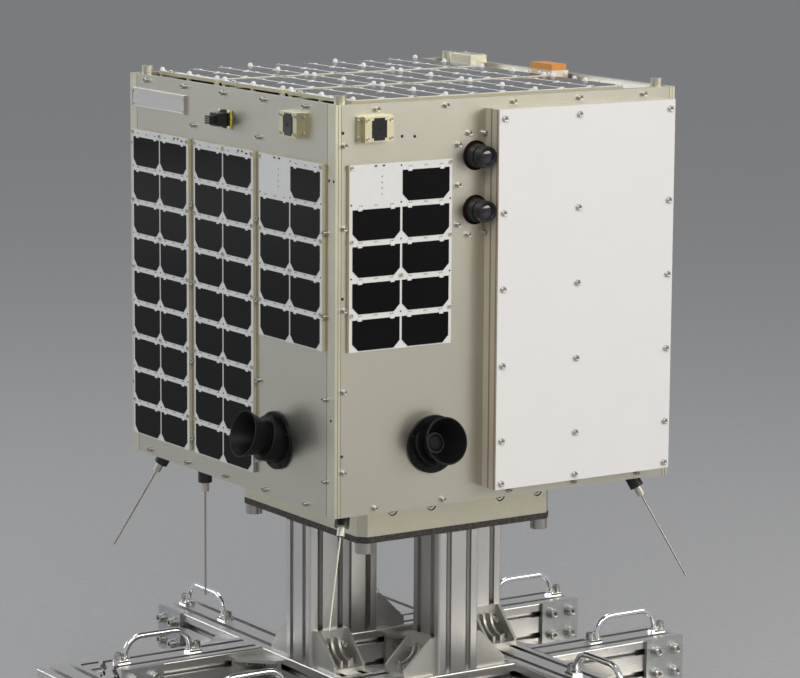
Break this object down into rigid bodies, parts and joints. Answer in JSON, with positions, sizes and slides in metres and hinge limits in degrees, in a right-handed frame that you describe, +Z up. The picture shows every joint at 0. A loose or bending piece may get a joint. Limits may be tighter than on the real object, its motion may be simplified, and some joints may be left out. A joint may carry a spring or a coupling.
{
  "type": "microsatellite on display stand",
  "caption": "Cube-shaped Earth observation microsatellite with flat solar boards, radiator, cameras, star trackers and whip antennas, on an aluminium extrusion stand.",
  "frame": {"origin": "on the floor, under the middle of the satellite's body", "axes": "+Z up; -Y is the way the radiator face looks; -X is the way the face with the nameplate looks"},
  "size_m": [0.716, 0.716, 0.9055],
  "materials": {
    "bare_aluminium": "satin, slightly streaked mill finish",
    "post_alodine": "pale conversion coating",
    "deck_mirror": "polished almost to a mirror",
    "solar_board": "glossy black cells on a white board",
    "radiator_white": "smooth white paint with pale edges",
    "radiator_film": "amber film",
    "camera_black": "satin black anodising",
    "tracker_black": "matt black",
    "sensor_gold": "gold conversion coating",
    "nameplate_steel": "brushed, blank",
    "connector_black": "moulded",
    "antenna_orange": "orange block on a pale bracket",
    "receiver_cream": "pale conversion coating",
    "antenna_black": "black cup, pale ferrule and steel rod",
    "adapter_aluminium": "machined",
    "insulator_brown": "dark laminate",
    "screw_black": "blackened steel",
    "extrusion": "clear anodised",
    "bracket_cast": "die cast",
    "plate_zinc": "zinc plated",
    "handle_chrome": "plated",
    "foot_black": "black pad on a steel stud"
  },
  "bodies": {
    "root": {"front_panel": "bare_aluminium", "left_panel": "bare_aluminium", "right_panel": "bare_aluminium", "rear_panel": "bare_aluminium", "bottom_panel": "bare_aluminium", "equipment_block": "bare_aluminium", "top_panel": "deck_mirror", "corner_post_front_left": "post_alodine", "corner_post_front_right": "post_alodine", "corner_post_rear_right": "post_alodine", "corner_post_rear_left": "post_alodine", "top_bosses": "post_alodine", "left_solar_panel_rear": "solar_board", "left_solar_panel_middle": "solar_board", "left_solar_panel_front": "solar_board", "front_solar_panel": "solar_board", "top_solar_panels": "solar_board", "right_solar_panels": "solar_board", "rear_solar_panels": "solar_board", "radiator_base": "radiator_white", "radiator_middle": "radiator_white", "radiator_front": "radiator_white", "radiator_films": "radiator_film", "earth_cameras": "camera_black", "left_star_tracker": "tracker_black", "front_star_tracker": "tracker_black", "left_sun_sensor": "sensor_gold", "front_sun_sensor": "sensor_gold", "nameplate": "nameplate_steel", "service_connector": "connector_black", "patch_antenna": "antenna_orange", "receiver_box": "receiver_cream", "whip_antennas": "antenna_black", "monopole_antenna": "antenna_black", "adapter_ring": "adapter_aluminium", "insulating_plate": "insulator_brown", "adapter_screws": "screw_black", "stand_column_left": "extrusion", "base_beam_left": "extrusion", "outrigger_arm_left": "extrusion", "ground_rail_left": "extrusion", "stand_column_rear": "extrusion", "base_beam_rear": "extrusion", "outrigger_arm_rear": "extrusion", "ground_rail_rear": "extrusion", "stand_column_right": "extrusion", "base_beam_right": "extrusion", "outrigger_arm_right": "extrusion", "ground_rail_right": "extrusion", "stand_column_front": "extrusion", "base_beam_front": "extrusion", "outrigger_arm_front": "extrusion", "ground_rail_front": "extrusion", "angle_brackets": "bracket_cast", "joining_plates": "plate_zinc", "beam_handles": "handle_chrome", "arm_handles": "handle_chrome", "levelling_feet": "foot_black"}
  },
  "joints": []
}
